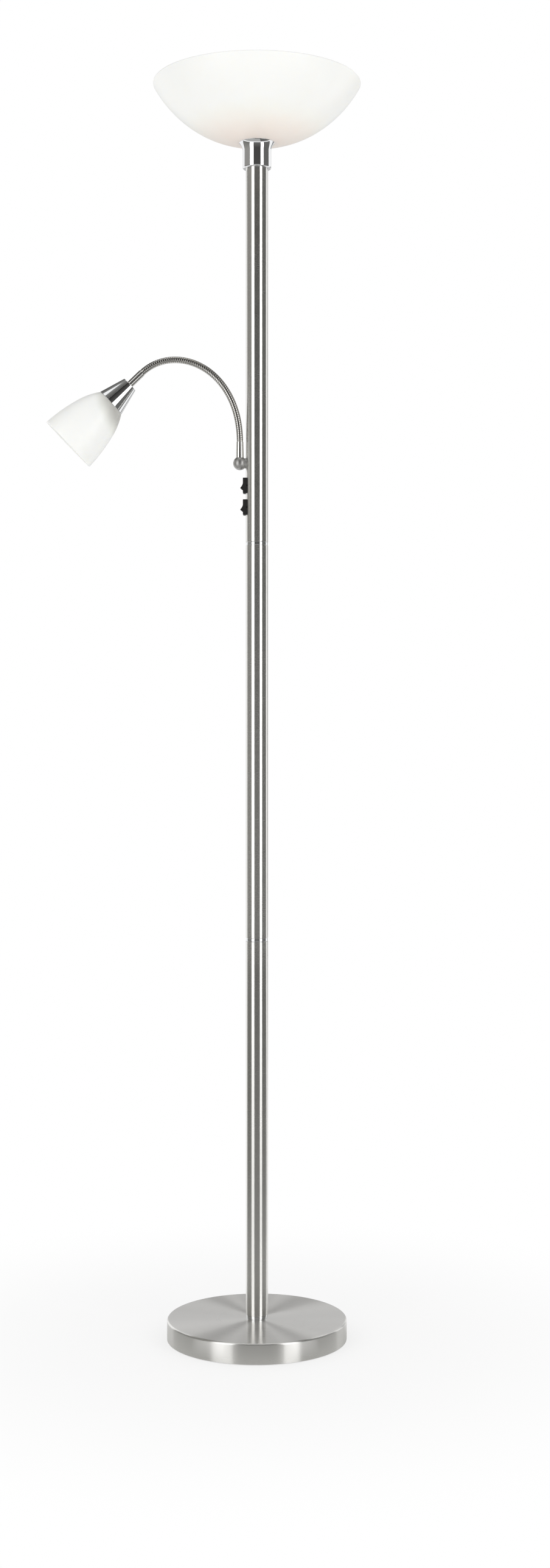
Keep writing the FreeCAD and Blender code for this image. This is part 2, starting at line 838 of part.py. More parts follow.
def head_lampholder():
    floor = total(head_holder_start, "stem_grip", "stem_clearance")
    return turned("head_lampholder", [
        ("stud_radius + thread_gap", head_holder_start),
        ("head_holder_foot", head_holder_start),
        ("head_holder_radius", total(head_holder_start, "head_holder_taper")),
        ("head_holder_radius", head_holder_end),
        ("head_holder_bore", head_holder_end),
        ("head_holder_bore", floor),
        ("stud_radius + thread_gap", floor),
    ])


def reading_shade():
    """Opal glass bell: flat neck, rounded shoulder, flaring side."""
    lip = "(shade_glass / 2)"
    waist = total(shade_start, "shade_waist")
    rim = total(shade_start, "shade_length")
    return turned("reading_shade", [
        ("head_holder_radius + slip_gap", shade_start),
        ("shade_neck_radius", shade_start),
        ("shade_neck_radius + shade_shoulder_out", total(shade_start, "shade_shoulder_rise"),
         "+shade_neck_curve"),
        ("shade_waist_radius", waist, "+shade_side_curve"),
        ("shade_rim_radius", rim + " - " + lip, "+" + lip),
        ("shade_rim_radius - " + lip, rim, "+" + lip),
        ("shade_rim_radius - shade_glass", rim + " - " + lip,
         "-(shade_side_curve - shade_glass)"),
        ("shade_waist_radius - shade_glass * 0.97", waist + " + shade_glass * 0.26",
         "-(shade_neck_curve - shade_glass)"),
        ("shade_neck_radius", shade_inside),
        ("head_holder_radius + slip_gap", shade_inside),
    ])


def head_clamp_ring():
    top = total(shade_inside, "head_ring_height")
    return turned("head_clamp_ring", [
        ("head_holder_radius + thread_gap", shade_inside),
        ("head_ring_radius", shade_inside),
        ("head_ring_radius", top + " - ring_round", "+ring_round"),
        ("head_ring_radius - ring_round", top),
        ("head_holder_radius + thread_gap", top),
    ])


def head_bulb():
    start = total(head_holder_start, "stem_grip", "2 * stem_clearance")
    end = total(start, "head_bulb_height")
    centre = "(" + end + " - head_bulb_radius)"
    return turned("head_bulb", [
        ("0", start),
        ("head_cap_radius", start),
        ("head_cap_radius", head_holder_end + " - head_cap_inset"),
        ("head_bulb_neck", head_holder_end + " - head_cap_inset + head_cap_taper"),
        ("head_bulb_neck", head_holder_end + " + bulb_neck_rise"),
        ("head_bulb_radius * 0.8", centre + " - head_bulb_radius * 0.6",
         "+head_bulb_radius"),
        ("head_bulb_radius", centre, "+head_bulb_radius"),
        ("0", end),
    ])


# ---------------------------------------------------------------- switches

pivot_out = "(pole_radius - rocker_pivot_depth)"
cavity_reach = "(body_length / 2 - cavity_wall)"
cavity_side = "(body_width / 2 - cavity_side)"
cavity_depth = "(sqrt(rocker_foot ^ 2 + rocker_depth ^ 2) + running_gap)"
body_inner = "(" + pivot_out + " - " + cavity_depth + " - cavity_floor)"


def switch(label, centre):
    housing = new_body(label + "_housing")
    profile = blank_sketch(housing, "XZ_Plane")
    face = "(-pole_radius - bezel_rise)"
    root = "(-pole_radius + bezel_root)"
    top = "(bezel_length / 2)"
    outline(profile, [
        (root, "-" + top),
        (root, top),
        (face + " + bezel_round / 2", top, "+(bezel_round / 2)"),
        (face, top + " - bezel_round / 2"),
        (face, "-" + top + " + bezel_round", "+bezel_round"),
        (face + " + bezel_round", "-" + top),
    ])
    padded(housing, profile, "bezel_width", both_sides=True)
    saddle = blank_sketch(housing, "XY_Plane")
    circle(saddle, "0", "0", "pole_radius")
    pocketed(housing, saddle, "2 * bezel_length", both_sides=True)
    block = blank_sketch(housing, "YZ_Plane", "-" + body_inner)
    rectangle(block, "body_width / 2", "body_length / 2")
    padded(housing, block, "pole_radius + bezel_rise / 2 - " + body_inner, reverse=True)
    cavity = blank_sketch(housing, "YZ_Plane", "-" + body_inner + " - cavity_floor")
    rectangle(cavity, cavity_side, cavity_reach)
    pocketed(housing, cavity, "pole_radius + bezel_rise")
    pivot = blank_sketch(housing, "XZ_Plane")
    circle(pivot, "-" + pivot_out, "0", "rocker_pin + pivot_gap")
    pocketed(housing, pivot, "2 * body_width", both_sides=True)
    placed(housing, up=centre)

    rocker = new_body(label + "_rocker")
    side = blank_sketch(rocker, "XZ_Plane")
    outline(side, [
        ("-rocker_top", "rocker_tip", "-rocker_hollow"),
        ("-rocker_top", "-rocker_tip"),
        ("-rocker_shoulder_height", "-rocker_shoulder"),
        ("rocker_hip", "-rocker_shoulder"),
        ("rocker_depth", "-rocker_foot"),
        ("rocker_depth", "rocker_foot"),
        ("rocker_hip", "rocker_shoulder"),
        ("-rocker_shoulder_height", "rocker_shoulder"),
    ])
    padded(rocker, side, "2 * " + cavity_side + " - 2 * running_gap", both_sides=True)
    pins = blank_sketch(rocker, "XZ_Plane")
    circle(pins, "0", "0", "rocker_pin")
    padded(rocker, pins, "body_width - 2 * running_gap", both_sides=True)
    placed(rocker, across="-" + pivot_out, up=centre, tilt="rocker_tilt")


def rectangle(sketch, half_width, half_height):
    outline(sketch, [
        ("-(" + half_width + ")", "-(" + half_height + ")"),
        (half_width, "-(" + half_height + ")"),
        (half_width, half_height),
        ("-(" + half_width + ")", half_height),
    ])


def switch_tabs():
    """Three contact tabs behind each switch body."""
    tabs = []
    for centre in switch_heights:
        for step in (-1, 0, 1):
            tab = doc.addObject("Part::Box", "tab_%d" % (len(tabs) + 1))
            tab.setExpression("Length", bound("tab_length"))
            tab.setExpression("Width", bound("tab_width"))
            tab.setExpression("Height", bound("tab_thickness"))
            placed(tab, across="-" + body_inner, behind="-tab_width / 2",
                   up=total(upper_start, centre)
                   + " + %d * tab_spacing - tab_thickness / 2" % step)
            tabs.append(tab)
    group("switch_tabs", tabs)


# ---------------------------------------------------------------- build

def check_and_export():
    doc.recompute()
    for thing in doc.Objects:
        if {"Invalid", "Error"} & set(thing.State):
            raise RuntimeError("%s is %s" % (thing.Label, thing.State))
    for node in nodes:
        if node.Shape.isNull() or not node.Shape.isValid():
            raise RuntimeError("bad shape in " + node.Label)
        if not node.Shape.Solids:
            raise RuntimeError("no solid in " + node.Label)
    os.makedirs("parts", exist_ok=True)
    for node in nodes:
        node.Shape.exportStep("parts/%s.step" % node.Label)
        print("%-18s %2d solid(s) %10.1f mm3" % (
            node.Label, len(node.Shape.Solids), node.Shape.Volume))


base()
pole()
uplighter()
arm_root()
gooseneck()
reading_head()
switch("switch_upper", total(upper_start, switch_heights[0]))
switch("switch_lower", total(upper_start, switch_heights[1]))
switch_tabs()
check_and_export()
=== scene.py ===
import math

import bmesh
import bpy
from mathutils import Matrix, Vector


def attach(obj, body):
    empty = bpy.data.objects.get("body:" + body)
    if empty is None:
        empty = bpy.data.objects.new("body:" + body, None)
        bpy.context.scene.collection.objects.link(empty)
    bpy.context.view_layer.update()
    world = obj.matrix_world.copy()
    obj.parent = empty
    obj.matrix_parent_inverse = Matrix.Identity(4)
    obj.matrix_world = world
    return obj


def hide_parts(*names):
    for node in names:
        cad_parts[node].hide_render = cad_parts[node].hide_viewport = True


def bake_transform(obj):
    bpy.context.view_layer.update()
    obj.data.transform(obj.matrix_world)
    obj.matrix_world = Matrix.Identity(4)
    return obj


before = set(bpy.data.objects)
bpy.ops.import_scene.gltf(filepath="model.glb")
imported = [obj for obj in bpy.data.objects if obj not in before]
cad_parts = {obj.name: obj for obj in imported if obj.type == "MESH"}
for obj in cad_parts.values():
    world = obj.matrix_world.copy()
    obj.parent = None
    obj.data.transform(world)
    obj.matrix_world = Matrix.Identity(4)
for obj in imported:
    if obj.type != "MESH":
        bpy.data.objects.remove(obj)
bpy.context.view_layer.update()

scene = bpy.context.scene
MM = 0.001

# ---- Camera
# A level camera three metres in front of the pole, a little below mid height, as
# the photograph was taken. Its shift keeps the pole upright in the frame.
PHOTO_HEIGHT_PX = 2576
FOCAL_PX = 3400
HORIZON_PX = 1201.6
SENSOR_MM = 36
CAMERA_PLACE = (0.0259, -2.9687, 0.8706)
camera_data = bpy.data.cameras.new("camera")
camera_data.sensor_width = SENSOR_MM
camera_data.lens = SENSOR_MM * FOCAL_PX / PHOTO_HEIGHT_PX
camera_data.shift_y = (HORIZON_PX - PHOTO_HEIGHT_PX / 2) / PHOTO_HEIGHT_PX
camera = bpy.data.objects.new("camera", camera_data)
camera.location = CAMERA_PLACE
camera.rotation_euler = (math.radians(90), 0, 0)
scene.collection.objects.link(camera)
scene.camera = camera
scene.view_settings.view_transform = "Standard"


def linear(colour):
    """An sRGB hex colour as the linear colour that a socket takes."""
    parts = [int(colour[i:i + 2], 16) / 255 for i in (1, 3, 5)]
    return [p / 12.92 if p <= 0.04045 else ((p + 0.055) / 1.055) ** 2.4 for p in parts] + [1]


def add(tree, kind, settings=None, links=None, **sockets):
    """A node with its settings, its socket values and its incoming links."""
    made = tree.nodes.new(kind)
    for name, chosen in (settings or {}).items():
        setattr(made, name, chosen)
    for name, chosen in sockets.items():
        made.inputs[name.replace("_", " ")].default_value = chosen
    for socket, source in (links or {}).items():
        tree.links.new(source, made.inputs[socket])
    return made


def fresh_tree(owner):
    """The emptied node tree of a world or a material."""
    owner.use_nodes = True
    owner.node_tree.nodes.clear()
    return owner.node_tree


# ---- Room
# An even white room: the lamp stands in soft light from all sides, and whatever
# looks past the lamp, or is mirrored in its metal, sees white paper.
ROOM_LIGHT = 0.80
PAPER_LIGHT = 1
WHITE = (1, 1, 1, 1)


def seen_directly(tree):
    """1 for a ray that looks, is mirrored or passes through glass, 0 for soft light."""
    path = add(tree, "ShaderNodeLightPath")
    looked = add(tree, "ShaderNodeMath", {"operation": "MAXIMUM"},
                 {0: path.outputs["Is Camera Ray"], 1: path.outputs["Is Glossy Ray"]})
    seen = add(tree, "ShaderNodeMath", {"operation": "MAXIMUM"},
               {0: looked.outputs[0], 1: path.outputs["Is Transmission Ray"]})
    return seen.outputs[0]


world = bpy.data.worlds.new("white_room")
scene.world = world
tree = fresh_tree(world)
light = add(tree, "ShaderNodeBackground", Color=WHITE, Strength=ROOM_LIGHT)
paper = add(tree, "ShaderNodeBackground", Color=WHITE, Strength=PAPER_LIGHT)
mixed = add(tree, "ShaderNodeMixShader", links={
    0: seen_directly(tree), 1: light.outputs[0], 2: paper.outputs[0]})
add(tree, "ShaderNodeOutputWorld", links={"Surface": mixed.outputs[0]})

# ---- Floor
# Pale studio floor, matt. It takes the lamp's soft shadow near the base and goes
# over to the white of the paper further out.
FLOOR_REACH = 14
FLOOR_LIGHT = 0.88
# From PAPER_START to PAPER_FULL metres out the share of paper grows from PAPER_LEAST.
PAPER_START, PAPER_FULL = 0.2, 0.75
PAPER_LEAST = 0.65
floor_mesh = bpy.data.meshes.new("floor")
floor_mesh.from_pydata(
    [(x * FLOOR_REACH, y * FLOOR_REACH, 0) for x, y in ((-1, -1), (1, -1), (1, 1), (-1, 1))],
    [], [(0, 1, 2, 3)])
floor = bpy.data.objects.new("floor", floor_mesh)
scene.collection.objects.link(floor)
material = bpy.data.materials.new("pale_studio_floor")
tree = fresh_tree(material)
place = add(tree, "ShaderNodeTexCoord")
distance = add(tree, "ShaderNodeVectorMath", {"operation": "LENGTH"},
               {0: place.outputs["Object"]})
far = add(tree, "ShaderNodeMapRange", {"interpolation_type": "SMOOTHSTEP"},
          {"Value": distance.outputs["Value"]},
          From_Min=PAPER_START, From_Max=PAPER_FULL, To_Min=PAPER_LEAST)
glow = add(tree, "ShaderNodeMapRange", links={"Value": seen_directly(tree)},
           To_Min=FLOOR_LIGHT, To_Max=PAPER_LIGHT)
matt = add(tree, "ShaderNodeBsdfPrincipled", Base_Color=linear("#fcfcfc"), Roughness=0.9)
paper = add(tree, "ShaderNodeEmission", links={"Strength": glow.outputs[0]}, Color=WHITE)
mixed = add(tree, "ShaderNodeMixShader", links={
    0: far.outputs[0], 1: matt.outputs[0], 2: paper.outputs[0]})
add(tree, "ShaderNodeOutputMaterial", links={"Surface": mixed.outputs[0]})
material.cycles.emission_sampling = "NONE"
floor_mesh.materials.append(material)

# ---- Lights
# Two tall softboxes, one each side of the camera. They fill the gaps between the dark
# flags and draw the two bright lines down the pole.
SOFTBOX_DISTANCE = 2.6
SOFTBOX_MIDDLE = 1.2
SOFTBOX_HEIGHT = 3.0
for side, azimuth, width, radiance in (("right", 43, 1.05, 1.35), ("left", -41.5, 1.25, 1.0)):
    lamp = bpy.data.lights.new("softbox_" + side, "AREA")
    lamp.shape = "RECTANGLE"
    lamp.size = width
    lamp.size_y = SOFTBOX_HEIGHT
    lamp.energy = radiance * math.pi * width * SOFTBOX_HEIGHT
    box = bpy.data.objects.new("softbox_" + side, lamp)
    # Azimuth 0 is the camera's side, and it grows towards the right.
    angle = math.radians(azimuth)
    box.location = (SOFTBOX_DISTANCE * math.sin(angle),
                    -SOFTBOX_DISTANCE * math.cos(angle), SOFTBOX_MIDDLE)
    aim = Vector((0, 0, SOFTBOX_MIDDLE)) - box.location
    box.rotation_euler = aim.to_track_quat("-Z", "Y").to_euler()
    scene.collection.objects.link(box)

# ---- Flags
# Grey cards round the lamp and cloths on the floor, as used to draw dark stripes on
# polished tube. Only mirrored light sees them: they neither show nor shade the lamp.
FLAG_DISTANCE = 2.5
FLAG_STEPS = 24


def two_tone(tree, share, first, second):
    """A colour that goes from the first hex colour to the second as share goes to 1."""
    tone = add(tree, "ShaderNodeMix", {"data_type": "RGBA"}, {0: share})
    tone.inputs[6].default_value = linear(first)
    tone.inputs[7].default_value = linear(second)
    return tone.outputs[2]


def flag(word, first, last, low, high, shades, near=FLAG_DISTANCE, far=FLAG_DISTANCE):
    """A card bent round the pole from one azimuth to another. Its lower edge is at the
    near distance and its upper one at the far one, each in its own shade."""
    name = "flag_" + word
    mesh = bpy.data.meshes.new(name)
    points = []
    for i in range(FLAG_STEPS + 1):
        angle = math.radians(first + (last - first) * i / FLAG_STEPS)
        for reach, height in ((near, low), (far, high)):
            points.append((reach * math.sin(angle), -reach * math.cos(angle), height))
    faces = [(2 * i, 2 * i + 2, 2 * i + 3, 2 * i + 1) for i in range(FLAG_STEPS)]
    mesh.from_pydata(points, [], faces)
    card = bpy.data.objects.new(name, mesh)
    scene.collection.objects.link(card)
    cloth = bpy.data.materials.new(name)
    cloth.cycles.emission_sampling = "NONE"
    tree = fresh_tree(cloth)
    place = add(tree, "ShaderNodeTexCoord")
    axes = add(tree, "ShaderNodeSeparateXYZ", links={0: place.outputs["Generated"]})
    glow = add(tree, "ShaderNodeEmission", links={
        "Color": two_tone(tree, axes.outputs["Z"], *shades)})
    add(tree, "ShaderNodeOutputMaterial", links={"Surface": glow.outputs[0]})
    mesh.materials.append(cloth)
    card.visible_camera = False
    card.visible_diffuse = False
    card.visible_transmission = False
    card.visible_shadow = False


# The three dark stripes of the pole. A low card and a cloth on the floor carry each of
# them down to the base.
for word, first, last, foot, head, cloth in (
        ("camera", -27, 31, "#767573", "#252423", "#a2a2a0"),
        ("left", -118, -58, "#6a6a66", "#a6a4a0", "#b2b2b0"),
        ("right", 55, 109, "#6c6c6a", "#646462", "#b0b0ae")):
    flag(word, first, last, -0.5, 3.5, (foot, head))
    flag("low_" + word, first, last, 0, 0.4, (foot, foot), near=0.6, far=0.6)
    flag("floor_" + word, first, last, 0.0035, 0.004, (cloth, cloth), near=0.17, far=0.6)
# Cloths on the floor: a ring close round the base, which darkens its upright side, and
# two broad ones further out, which darken the pole's foot and the collar's flare.
for word, first, last, shade, low, high, near, far in (
        ("near_floor", -130, 130, "#bcbcba", 0.0006, 0.0035, 0.1292, 0.17),
        ("far_floor", -118, 31, "#b2b2b0", 0.003, 0.004, 0.62, 2.0),
        ("far_right", 31, 125, "#6a6a68", 0.003, 0.004, 0.62, 2.0)):
    flag(word, first, last, low, high, (shade, shade), near, far)
# Cards behind and above: a narrow one for the grey line down the pole's right edge, a
# pale one for the base's top, a high one for the left edges of the pole and the cups,
# and one overhead for the neck and the upper side of the reading cup.
for word, first, last, low, high, foot, head in (
        ("edge", 136, 152, -0.5, 2.2, "#a2a2a2", "#9a9a9a"),
        ("back", 160, 202, -0.5, 3.5, "#c2c2c2", "#c2c2c2"),
        ("high_left", -202, -118, 2.5, 3.5, "#6e6e6c", "#5c5b59"),
        ("over", -180, 180, 3.5, 6.5, "#5c5b59", "#8a8a88")):
    flag(word, first, last, low, high, (foot, head))

# ---- Felt pad and cast weight
# The pad is pressed wool felt glued under a raw grey iron casting. Only the rim of
# both can be seen, in the gap under the base cover.


def clumps(tree, size, detail, roughness=0.5):
    """Noise fixed to the piece, whose clumps are about that many mm across."""
    place = add(tree, "ShaderNodeTexCoord")
    noise = add(tree, "ShaderNodeTexNoise", links={"Vector": place.outputs["Object"]},
                Scale=1 / (size * MM), Detail=detail, Roughness=roughness)
    return noise.outputs["Fac"]


felt = bpy.data.materials.new("pressed_wool_felt")
tree = fresh_tree(felt)
# Matted fibre clumps about 1.5 mm across give the felt its broken, dusty dark.
fibres = clumps(tree, 1.5, 6, 0.7)
relief = add(tree, "ShaderNodeBump", links={"Height": fibres}, Strength=0.5, Distance=0.4 * MM)
cloth = add(tree, "ShaderNodeBsdfPrincipled", links={
    "Base Color": two_tone(tree, fibres, "#262524", "#4a4846"),
    "Normal": relief.outputs["Normal"]}, Roughness=0.95, Sheen_Weight=0.3)
add(tree, "ShaderNodeOutputMaterial", links={"Surface": cloth.outputs[0]})

iron = bpy.data.materials.new("raw_grey_iron_casting")
tree = fresh_tree(iron)
# Sand grain of about 1 mm roughens the cast skin and breaks up its grey.
sand = clumps(tree, 1, 4)
relief = add(tree, "ShaderNodeBump", links={"Height": sand}, Strength=0.6, Distance=0.3 * MM)
skin = add(tree, "ShaderNodeBsdfPrincipled", links={
    "Base Color": two_tone(tree, sand, "#3c3b3a", "#5d5b58"),
    "Normal": relief.outputs["Normal"]}, Metallic=0.6, Roughness=0.7)
add(tree, "ShaderNodeOutputMaterial", links={"Surface": skin.outputs[0]})


def dress(node_name, material):
    """Give a CAD node, which keeps its place and shape, its finish."""
    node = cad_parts[node_name]
    node.data.materials.clear()
    node.data.materials.append(material)


dress("base_pad", felt)
dress("base_weight", iron)

# ---- Base cover
# Steel sheet spun over a round form into a shallow pan, plated with nickel and
# brushed on the lathe. It drops over the weight and is clamped by the pole.
COVER_RADIUS = 128.75
COVER_FOOT, COVER_TOP = 1, 30
COVER_CORNER = 3
COVER_SHEET = 1.5
ROD_HOLE = 5.1
# Faces that meet at more than EDGE_ANGLE keep an edge in the shading, and a corner of
# an outline that opens wider than FLAT_CORNER isn't rounded.
EDGE_ANGLE = math.radians(35)
FLAT_CORNER = math.radians(155)
ROUNDING_STEPS = 6
GROOVE_DRIFT = 0.02


def arc(start, end, radius, steps=12):
    """Points after start up to end on a circle of that radius, in (r, z) and mm; a
    positive radius bulges to the right of the way, a negative one to the left."""
    (r0, z0), (r1, z1) = start, end
    span = math.hypot(r1 - r0, z1 - z0)
    side = 1 if radius > 0 else -1
    lift = side * math.sqrt(radius ** 2 - span ** 2 / 4) / span
    cr = (r0 + r1) / 2 - (z1 - z0) * lift
    cz = (z0 + z1) / 2 + (r1 - r0) * lift
    first = math.atan2(z0 - cz, r0 - cr)
    turn = side * 2 * math.asin(span / (2 * abs(radius)))
    return [(cr + abs(radius) * math.cos(first + turn * i / steps),
             cz + abs(radius) * math.sin(first + turn * i / steps))
            for i in range(1, steps + 1)]


def eased(corners, radius):
    """A closed outline with its sharp corners rounded. A point close to each side of a
    rounding keeps the flat faces flat where light runs over them."""
    made = []
    count = len(corners)
    for i, corner in enumerate(corners):
        here = Vector(corner)
        before = Vector(corners[i - 1]) - here
        after = Vector(corners[(i + 1) % count]) - here
        opening = before.angle(after)
        on_axis = corner[0] == 0
        if on_axis or opening > FLAT_CORNER:
            made.append(here)
            continue
        reach = min(radius / math.tan(opening / 2), 0.4 * before.length, 0.4 * after.length)
        a = here + before.normalized() * reach
        b = here + after.normalized() * reach
        made.append(here + before.normalized() * reach * 1.2)
        for k in range(ROUNDING_STEPS + 1):
            t = k / ROUNDING_STEPS
            made.append(a.lerp(here, t).lerp(here.lerp(b, t), t))
        made.append(here + after.normalized() * reach * 1.2)
    return [tuple(p) for p in made]


def new_piece(name, points, faces, material):
    """A smooth mesh object from points in metres."""
    mesh = bpy.data.meshes.new(name)
    mesh.from_pydata(points, [], faces)
    mesh.materials.append(material)
    mesh.shade_smooth()
    mesh.set_sharp_from_angle(angle=EDGE_ANGLE)
    piece = bpy.data.objects.new(name, mesh)
    scene.collection.objects.link(piece)
    return piece


def turned(name, outline, material, turns, foot=0):
    """A closed outline of (r, z) in mm, counterclockwise, turned about the Z axis, with
    its z counted from a foot."""
    points = []
    rings = []
    for r, z in outline:
        height = (z + foot) * MM
        if r == 0:
            rings.append([len(points)] * turns)
            points.append((0, 0, height))
            continue
        rings.append(list(range(len(points), len(points) + turns)))
        for k in range(turns):
            angle = 2 * math.pi * k / turns
            points.append((r * MM * math.cos(angle), r * MM * math.sin(angle), height))
    faces = []
    for i, ring in enumerate(rings):
        above = rings[(i + 1) % len(rings)]
        for k in range(turns):
            nearby = (k + 1) % turns
            # On the axis two corners of a face are one point.
            corners = list(dict.fromkeys((ring[k], ring[nearby], above[nearby], above[k])))
            if len(corners) > 2:
                faces.append(corners)
    return new_piece(name, points, faces, material)


def cut(piece, low, high, round_bore=False):
    """Takes a box, or the round bore along Y that fits in it, out of a piece; mm."""
    low, high = Vector(low) * MM, Vector(high) * MM
    size = high - low
    shape = bmesh.new()
    if round_bore:
        bmesh.ops.create_cone(shape, cap_ends=True, segments=48, radius1=size.x / 2,
                              radius2=size.x / 2, depth=size.y,
                              matrix=Matrix.Rotation(math.radians(90), 4, "X"))
    else:
        bmesh.ops.create_cube(shape, size=1, matrix=Matrix.Diagonal((*size, 1)))
    bmesh.ops.translate(shape, verts=shape.verts, vec=(low + high) / 2)
    mesh = bpy.data.meshes.new("cutter")
    shape.to_mesh(mesh)
    cutter = bpy.data.objects.new("cutter", mesh)
    scene.collection.objects.link(cutter)
    step = piece.modifiers.new("cut", "BOOLEAN")
    step.operation = "DIFFERENCE"
    step.object = cutter
    result = bpy.data.meshes.new_from_object(
        piece.evaluated_get(bpy.context.evaluated_depsgraph_get()))
    piece.modifiers.clear()
    piece.data = result
    result.set_sharp_from_angle(angle=EDGE_ANGLE)
    bpy.data.objects.remove(cutter)


def brushed_metal(name, colours, roughness, line, drawn):
    """Plated metal brushed on a lathe, with grooves round the piece's own Z axis that
    are line mm wide. The more they are drawn, the longer its mirrored light."""
    material = bpy.data.materials.new(name)
    tree = fresh_tree(material)
    place = add(tree, "ShaderNodeTexCoord")
    axes = add(tree, "ShaderNodeSeparateXYZ", links={0: place.outputs["Object"]})
    flat = add(tree, "ShaderNodeCombineXYZ", links={0: axes.outputs["X"], 1: axes.outputs["Y"]})
    radius = add(tree, "ShaderNodeVectorMath", {"operation": "LENGTH"}, {0: flat.outputs[0]})
    # The grooves change with radius and height but hardly along their length.
    drift = add(tree, "ShaderNodeMath", {"operation": "MULTIPLY"}, {0: axes.outputs["X"]})
    drift.inputs[1].default_value = GROOVE_DRIFT
    along = add(tree, "ShaderNodeCombineXYZ", links={
        0: radius.outputs["Value"], 1: axes.outputs["Z"], 2: drift.outputs[0]})
    grooves = add(tree, "ShaderNodeTexNoise", links={"Vector": along.outputs[0]},
                  Scale=1 / (line * MM), Detail=3, Roughness=0.6)
    # Broad, faint bands a few centimetres wide are where the brush pressed harder.
    bands = add(tree, "ShaderNodeTexNoise", links={"Vector": along.outputs[0]},
                Scale=1 / (40 * MM), Detail=2)
    mixed = add(tree, "ShaderNodeMath", {"operation": "ADD"},
                {0: grooves.outputs["Fac"], 1: bands.outputs["Fac"]})
    spread = add(tree, "ShaderNodeMapRange", links={"Value": mixed.outputs[0]},
                 From_Min=0.6, From_Max=1.4, To_Min=roughness - 0.03, To_Max=roughness + 0.04)
    round_axis = add(tree, "ShaderNodeTangent", {"direction_type": "RADIAL", "axis": "Z"})
    metal = add(tree, "ShaderNodeBsdfPrincipled", links={
        "Base Color": two_tone(tree, mixed.outputs[0], *colours),
        "Roughness": spread.outputs[0], "Tangent": round_axis.outputs[0]},
        Metallic=1, Anisotropic=drawn, Anisotropic_Rotation=0.25)
    add(tree, "ShaderNodeOutputMaterial", links={"Surface": metal.outputs[0]})
    return material


# Coarsely brushed nickel: mirrored light is drawn out across the grooves, which gives
# the base's top its soft streaks towards the middle.
coarse = brushed_metal("coarse_brushed_nickel", ("#ebeae7", "#f3f2ef"), 0.29, 0.4, 1)
inner_radius = COVER_RADIUS - COVER_SHEET
flat_radius = COVER_RADIUS - COVER_CORNER
side_top = COVER_TOP - COVER_CORNER
underside = COVER_TOP - COVER_SHEET
cover = turned("spun_base_cover", eased([
    (inner_radius, COVER_FOOT), (COVER_RADIUS, COVER_FOOT),
    (COVER_RADIUS, side_top),
    *arc((COVER_RADIUS, side_top), (flat_radius, COVER_TOP), COVER_CORNER),
    (ROD_HOLE, COVER_TOP), (ROD_HOLE, underside),
    (flat_radius, underside),
    *arc((flat_radius, underside), (inner_radius, side_top), COVER_SHEET - COVER_CORNER, 8)],
    0.3), coarse, 256)
# The hole for the lead bush in the rear edge, 9 mm across.
cut(cover, (-4.5, 120, 5), (4.5, 135, 14), round_bore=True)
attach(cover, "root")
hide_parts("base_cover")

# ---- Lead bush
# A moulded rubber bush pressed into the cover's rear edge, where a supply lead
# enters. Its flange hides the raw edge of the hole.
rubber = bpy.data.materials.new("moulded_black_rubber")
tree = fresh_tree(rubber)
# A dusty bloom in patches of about 3 mm keeps the rubber from looking like paint.
skin = add(tree, "ShaderNodeBsdfPrincipled", links={
    "Base Color": two_tone(tree, clumps(tree, 3, 5), "#1b1b1b", "#2c2b2a")}, Roughness=0.7)
add(tree, "ShaderNodeOutputMaterial", links={"Surface": skin.outputs[0]})
dress("lead_bush", rubber)

# ---- Hidden fasteners
# Hollow threaded rods, washers, nuts and tube plugs of turned steel, zinc plated.
# They clamp the pole and the arm from inside, and only the base's show from below.
zinc = bpy.data.materials.new("zinc_plated_steel")
tree = fresh_tree(zinc)
place = add(tree, "ShaderNodeTexCoord")
# Zinc crystals of about 2 mm give the plate its patchy, slightly blue grey.
spangle = add(tree, "ShaderNodeTexVoronoi", links={"Vector": place.outputs["Object"]},
              Scale=1 / (2 * MM))
plate = add(tree, "ShaderNodeBsdfPrincipled", links={
    "Base Color": two_tone(tree, spangle.outputs["Distance"], "#b9bdc2", "#a3a7ab")},
    Metallic=1, Roughness=0.42)
add(tree, "ShaderNodeOutputMaterial", links={"Surface": plate.outputs[0]})
for name in ("base_washer", "base_nut", "base_stem", "tube_end_plugs", "seam_studs",
             "top_stem", "collar_nut", "arm_stud", "arm_nut", "head_nipple", "head_nut"):
    dress(name, zinc)

# ---- Rings of the pole
# Turned brass rings, chrome plated and polished, a little smaller than the tubes:
# one on the base and one in each seam, threaded over the hollow studs.
RING_RADIUS = 15.6
RING_HEIGHT = 5
LOWER_SEAM, UPPER_SEAM = 570, 1137
chrome = bpy.data.materials.new("polished_chrome_plate")
tree = fresh_tree(chrome)
# Faint wipe marks about 15 mm across soften the mirror here and there.
spread = add(tree, "ShaderNodeMapRange", links={"Value": clumps(tree, 15, 4)},
             From_Min=0.3, From_Max=0.7, To_Min=0.03, To_Max=0.08)
plate = add(tree, "ShaderNodeBsdfPrincipled", links={"Roughness": spread.outputs[0]},
            Base_Color=linear("#f0f1f2"), Metallic=1)
add(tree, "ShaderNodeOutputMaterial", links={"Surface": plate.outputs[0]})
for node, start, name in (("foot_ring", COVER_TOP, "foot_ring_polished"),
                          ("seam_ring_lower", LOWER_SEAM, "lower_seam_ring_polished"),
                          ("seam_ring_upper", UPPER_SEAM, "upper_seam_ring_polished")):
    end = start + RING_HEIGHT
    band = turned(name, eased([
        (ROD_HOLE, start), (RING_RADIUS, start), (RING_RADIUS, end), (ROD_HOLE, end)], 0.9),
        chrome, 128)
    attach(band, "root")
    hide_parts(node)

